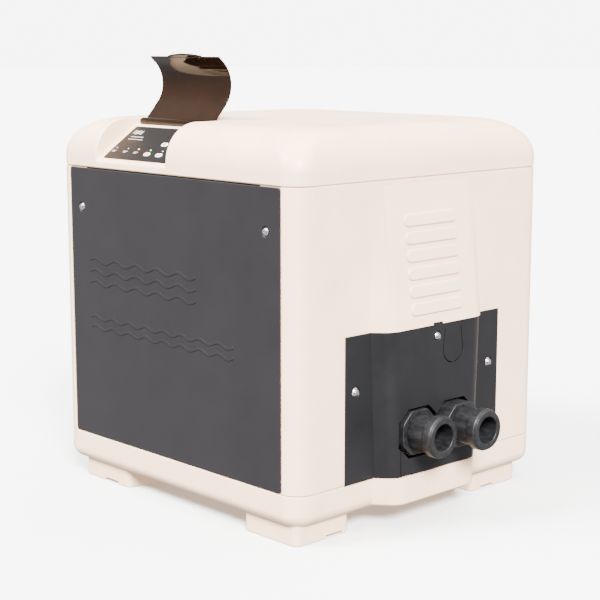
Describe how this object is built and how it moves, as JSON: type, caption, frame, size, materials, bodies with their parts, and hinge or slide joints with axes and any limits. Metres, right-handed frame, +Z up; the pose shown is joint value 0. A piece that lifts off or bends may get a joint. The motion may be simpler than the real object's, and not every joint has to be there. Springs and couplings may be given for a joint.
{
  "type": "pool and spa heater",
  "caption": "Compact pool and spa heater: moulded cabinet on feet, sloped keypad under a hinged smoked cover, screwed sheet panels, service cover, water unions and fan-fed burner inside.",
  "frame": {"origin": "bottom centre of the whole heater's bounding box, with the keypad cover open", "axes": "+X to the side with the water unions, +Y from the front panel to the back, +Z up"},
  "size_m": [0.628, 0.553, 0.6591],
  "materials": {
    "cream_resin": "finely textured moulded resin",
    "charcoal_sheet": "satin powder coat",
    "charcoal_resin": "satin moulded resin",
    "filled_nylon": "mottled glass-filled nylon",
    "zinc_steel": "zinc plated",
    "smoked_acrylic": "glossy smoked brown",
    "keypad_film": "satin printed film",
    "white_key": "satin white",
    "clear_lens": "clear moulded",
    "copper": "drawn copper tube",
    "stainless": "plain stainless",
    "aluminised_steel": "dull aluminised sheet",
    "ceramic_fibre": "pressed ceramic fibre",
    "cast_aluminium": "as cast",
    "brass": "turned brass",
    "rubber": "plain black",
    "circuit_board": "green laminate",
    "red_knob": "glossy red"
  },
  "bodies": {
    "cabinet": {"top_cover": "cream_resin", "base": "cream_resin", "left_side_panel": "cream_resin", "right_side_panel": "cream_resin", "flue_outlet": "cream_resin", "front_panel": "charcoal_sheet", "back_panel": "charcoal_sheet", "service_cover": "charcoal_resin", "ignition_module": "charcoal_resin", "water_manifold": "filled_nylon", "inlet_union_nut": "filled_nylon", "outlet_union_nut": "filled_nylon", "inlet_tailpiece": "filled_nylon", "outlet_tailpiece": "filled_nylon", "regulator_cap": "filled_nylon", "front_screw_left": "zinc_steel", "front_screw_right": "zinc_steel", "back_screw_left": "zinc_steel", "back_screw_right": "zinc_steel", "cover_screw_front": "zinc_steel", "cover_screw_rear": "zinc_steel", "cover_screw_top": "zinc_steel", "display_window": "smoked_acrylic", "keypad_overlay": "keypad_film", "led_light_pipe": "clear_lens", "tube_coil": "copper", "return_pipe": "copper", "keypad_cover_pin": "stainless", "bypass_spring": "stainless", "flame_holder": "stainless", "exhaust_pipe": "stainless", "flue_guard": "stainless", "combustion_chamber": "aluminised_steel", "chamber_top_plate": "aluminised_steel", "gas_pipe": "aluminised_steel", "transformer": "aluminised_steel", "junction_box": "aluminised_steel", "junction_box_cover": "aluminised_steel", "chamber_insulation": "ceramic_fibre", "igniter": "ceramic_fibre", "blower_housing": "cast_aluminium", "blower_motor": "cast_aluminium", "air_gas_mixer": "cast_aluminium", "gas_valve": "cast_aluminium", "thermal_regulator": "brass", "water_pressure_switch": "brass", "high_limit_sensor": "brass", "drain_plug": "brass", "gas_inlet_union": "brass", "inlet_o_ring": "rubber", "outlet_o_ring": "rubber", "control_board": "circuit_board"},
    "keypad_cover": {"keypad_cover": "smoked_acrylic"},
    "pool_button": {"pool_button": "white_key"},
    "spa_button": {"spa_button": "white_key"},
    "raise_button": {"raise_button": "white_key"},
    "lower_button": {"lower_button": "white_key"},
    "blower_wheel": {"blower_wheel": "cast_aluminium"},
    "gas_valve_knob": {"gas_valve_knob": "red_knob"},
    "bypass_valve": {"bypass_valve": "stainless"}
  },
  "joints": [
    {"name": "keypad_cover_hinge", "type": "hinge", "parent": "cabinet", "child": "keypad_cover", "pos_m": [-0.1294, -0.18775, 0.5575], "axis": [1, 0, 0], "range_deg": [0, 130.4]},
    {"name": "pool_press", "type": "slide", "parent": "cabinet", "child": "pool_button", "axis": [0, 0.5621, -0.8271], "range_m": [0, 0.0007], "stiffness_N_per_m": 1500},
    {"name": "spa_press", "type": "slide", "parent": "cabinet", "child": "spa_button", "axis": [0, 0.5621, -0.8271], "range_m": [0, 0.0007], "stiffness_N_per_m": 1500},
    {"name": "raise_press", "type": "slide", "parent": "cabinet", "child": "raise_button", "axis": [0, 0.5621, -0.8271], "range_m": [0, 0.0007], "stiffness_N_per_m": 1500},
    {"name": "lower_press", "type": "slide", "parent": "cabinet", "child": "lower_button", "axis": [0, 0.5621, -0.8271], "range_m": [0, 0.0007], "stiffness_N_per_m": 1500},
    {"name": "blower_spin", "type": "hinge", "parent": "cabinet", "child": "blower_wheel", "pos_m": [-0.0594, -0.04675, 0.432], "axis": [1, 0, 0], "continuous": true},
    {"name": "gas_knob_turn", "type": "hinge", "parent": "cabinet", "child": "gas_valve_knob", "pos_m": [-0.0129, -0.10875, 0.461], "axis": [0, 0, 1], "range_deg": [0, 90]},
    {"name": "bypass_slide", "type": "slide", "parent": "cabinet", "child": "bypass_valve", "axis": [0, 1, 0], "range_m": [0, 0.01], "stiffness_N_per_m": 300, "deforming": ["bypass_spring"]}
  ]
}
